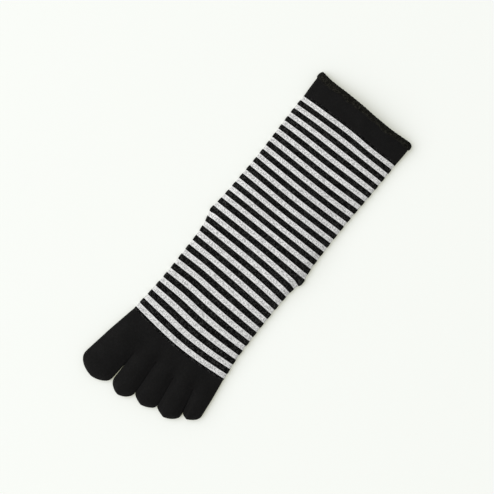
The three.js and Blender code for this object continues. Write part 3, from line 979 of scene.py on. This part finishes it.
def knit_toes():
    """The black toe section: a toe box that divides into five closed toes, with a web at each crotch."""
    shape, knit = new_knit()
    column = shape.verts.layers.int.new("column")
    row = shape.verts.layers.int.new("row")
    bmesh.ops.create_grid(
        shape, x_segments=BOX_RING, y_segments=BOX_ROWS, size=1, calc_uvs=True
    )
    for face in shape.faces:
        for corner in face.loops:
            spot = corner[knit].uv
            corner[knit].uv = (spot.x * WALES, BOX_START - spot.y * BOX_COURSES)
    for vert in shape.verts:
        step = round((vert.co.x + 1) / 2 * BOX_RING)
        share = (vert.co.y + 1) / 2
        vert[column], vert[row] = step % BOX_RING, round(share * BOX_ROWS)
        x, y, z, part = toe_box_point(share, step)
        z += soft_unevenness(x, y, z, part)
        vert.co = on_row(x, y, z)
    bmesh.ops.remove_doubles(shape, verts=shape.verts, dist=SAME_POINT * MM)
    front = {vert[column]: vert for vert in shape.verts if vert[row] == BOX_ROWS}

    # A column of knit joins the top and the sole at each crotch.
    start, across = BOX_FOLD // 2, BOX_FOLD + BOX_FLAT
    webs = []
    for number in range(1, len(TOES)):
        top = front[start + BOX_TOE * number]
        sole = front[(start + across + BOX_FLAT - BOX_TOE * number) % BOX_RING]
        chain = [top]
        for place in range(1, BOX_FOLD):
            share = place / BOX_FOLD
            between = top.co.lerp(sole.co, share)
            between.y += WEB_BOW * MM * math.sin(math.pi * share)
            chain.append(shape.verts.new(between))
        chain.append(sole)
        for one, other in zip(chain, chain[1:]):
            shape.edges.new((one, other))
        webs.append(chain)

    for number in range(len(TOES)):
        first = start + BOX_TOE * number
        over = [front[first + step] for step in range(BOX_TOE + 1)]
        under_first = start + across + BOX_FLAT - BOX_TOE * (number + 1)
        under = [front[(under_first + step) % BOX_RING] for step in range(BOX_TOE + 1)]
        if number < len(webs):
            right_side = webs[number][1:-1]
        else:
            right_side = [front[start + BOX_FLAT + step] for step in range(1, BOX_FOLD)]
        if number > 0:
            left_side = webs[number - 1][1:-1][::-1]
        else:
            left_side = [front[step % BOX_RING] for step in range(1 - start, start)]
        ring = over + right_side + under + left_side
        draw_toe(shape, knit, number, ring, first)
    return finish_piece(
        shape,
        "toe_section",
        BLACK_KNIT,
        ("toe_box", "big_toe", "second_toe", "third_toe", "fourth_toe", "little_toe"),
        wall=KNIT_WALL,
        levels=2,
    )


def draw_toe(shape, knit, number, ring, first):
    """Draws a toe forwards from its ring of points, section by section, and closes its tip."""
    count = len(ring)
    length = ROOTS[number][1] - TOES[number][1][1]
    places = [(row / TOE_ROWS, 0.0) for row in range(1, TOE_ROWS + 1)]
    places += [(1.0, row / TIP_ROWS) for row in range(1, TIP_ROWS + 1)]
    wale, done = first * WALES / BOX_RING, TOE_START
    for straight, tip in places:
        sides = [
            shape.edges.get((one, other))
            for one, other in zip(ring, ring[1:] + ring[:1])
        ]
        drawn = bmesh.ops.extrude_edge_only(shape, edges=sides)["geom"]
        new = {item for item in drawn if isinstance(item, bmesh.types.BMVert)}
        faces = [item for item in drawn if isinstance(item, bmesh.types.BMFace)]
        ahead = [
            next(
                edge.other_vert(vert)
                for edge in vert.link_edges
                if edge.other_vert(vert) in new
            )
            for vert in ring
        ]
        part = STRAIGHT_SHARE * straight + (1 - STRAIGHT_SHARE) * tip
        reach = TOE_START + part * length / FOOT_COURSE
        place = {vert: (step, done) for step, vert in enumerate(ring)}
        place.update({vert: (step, reach) for step, vert in enumerate(ahead)})
        for face in faces:
            face.smooth = True
            steps = [place[corner.vert][0] for corner in face.loops]
            wraps = max(steps) - min(steps) > count / 2
            for corner in face.loops:
                step, course = place[corner.vert]
                if wraps and step == 0:
                    step = count
                corner[knit].uv = (wale + step * WALES_PER_POINT, -course)
        if tip == 1:
            end = on_row(*TOES[number][1], TOE_FOLD_HEIGHT / 2)
            bmesh.ops.pointmerge(shape, verts=ahead, merge_co=end)
            return
        for step, vert in enumerate(ahead):
            x, y, z, side = toe_point(number, straight, tip, step)
            z += soft_unevenness(x, y, z, side) * (1 - tip)
            vert.co = on_row(x, y, z)
        ring, done = ahead, reach


knit_striped_tube()
knit_cuff_band()
turn_cuff_hem()
fold_heel_pouch()
knit_toes()


# Floor, light and camera, in metres


def lay_floor():
    """A plain pale floor. It glows a little with painted warm light, which lightens and warms its shadows.
    """
    shape = bmesh.new()
    bmesh.ops.create_grid(shape, x_segments=1, y_segments=1, size=3)
    mesh = bpy.data.meshes.new("floor")
    shape.to_mesh(mesh)
    shape.free()
    floor = bpy.data.objects.new("floor", mesh)
    bpy.context.scene.collection.objects.link(floor)
    maker = Maker("pale paper with a painted warm glow")
    # Painted light: the floor glows warm, which lightens its shadows and tints them warm. Its slightly
    # bluish colour offsets the glow where the lamps fall.
    maker.shader.inputs["Base Color"].default_value = (0.665, 0.687, 0.7325, 1)
    maker.shader.inputs["Emission Color"].default_value = (1.0, 0.99, 0.62, 1)
    maker.shader.inputs["Emission Strength"].default_value = 0.24
    maker.shader.inputs["Roughness"].default_value = 0.8
    maker.shader.inputs["Specular IOR Level"].default_value = 0.1
    mesh.materials.append(maker.material)


def soft_light(name, spot, power, size):
    """A broad lamp that faces the sock."""
    lamp = bpy.data.lights.new(name, "AREA")
    lamp.energy, lamp.size = power, size
    light = bpy.data.objects.new(name, lamp)
    bpy.context.scene.collection.objects.link(light)
    light.location = spot
    light.rotation_euler = (-Vector(spot)).to_track_quat("-Z", "Y").to_euler()


def light_scene():
    world = bpy.data.worlds.new("pale room")
    world.use_nodes = True
    sky = world.node_tree.nodes["Background"]
    sky.inputs["Color"].default_value = (1, 1, 1, 1)
    sky.inputs["Strength"].default_value = 0.50
    bpy.context.scene.world = world
    soft_light("window", (-4.45, -2.57, 6.13), power=720.0, size=10.5)
    bpy.context.scene.view_settings.view_transform = "Standard"


def set_camera():
    """Straight above the sock, turned as in the photograph."""
    camera = bpy.data.cameras.new("camera")
    camera.lens, camera.sensor_width = 85, 36
    camera.clip_start, camera.clip_end = 0.05, 10
    above = bpy.data.objects.new("camera", camera)
    above.location = (-0.00508, 0.00533, 0.937)
    above.rotation_euler = (0, 0, math.radians(39.5))
    bpy.context.scene.collection.objects.link(above)
    bpy.context.scene.camera = above


lay_floor()
light_scene()
set_camera()
